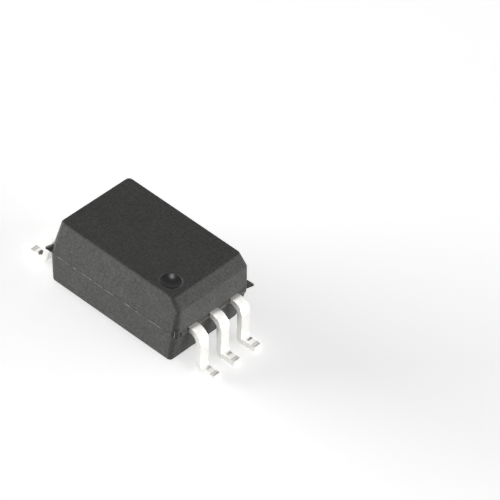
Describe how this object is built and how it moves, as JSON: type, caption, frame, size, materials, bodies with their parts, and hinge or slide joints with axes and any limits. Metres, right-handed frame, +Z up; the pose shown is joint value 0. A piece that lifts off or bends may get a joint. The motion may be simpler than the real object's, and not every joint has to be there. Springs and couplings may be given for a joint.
{
  "type": "surface-mount optocoupler chip",
  "caption": "Black moulded chip package, chamfered and dimpled at the pin 1 end, with bright tinned gull-wing leads on two opposite ends and a light-coupled emitter and detector inside.",
  "frame": {"origin": "on the board plane under the feet, midway between the feet and under the middle of the body", "axes": "+X across the lead rows towards the end with pin 1, +Y along that row from pin 1, +Z up from the board"},
  "size_m": [0.01, 0.0048, 0.0033],
  "materials": {
    "mould_compound": "fine matte black epoxy",
    "tinned_lead": "satin tin plate",
    "semiconductor": "polished die",
    "conductive_adhesive": "silver filled",
    "clear_silicone": "clear soft gel",
    "polyimide": "amber film",
    "gold_wire": "bright drawn wire"
  },
  "bodies": {
    "root": {"package_body": "mould_compound", "lead_1": "tinned_lead", "lead_2": "tinned_lead", "lead_3": "tinned_lead", "lead_4": "tinned_lead", "lead_5": "tinned_lead", "lead_6": "tinned_lead", "emitter_chip": "semiconductor", "emitter_adhesive": "conductive_adhesive", "detector_chip": "semiconductor", "detector_adhesive": "conductive_adhesive", "silicone_upper": "clear_silicone", "silicone_lower": "clear_silicone", "isolation_film": "polyimide", "anode_wire": "gold_wire", "ground_wire": "gold_wire", "output_wire": "gold_wire", "supply_wire": "gold_wire"}
  },
  "joints": []
}
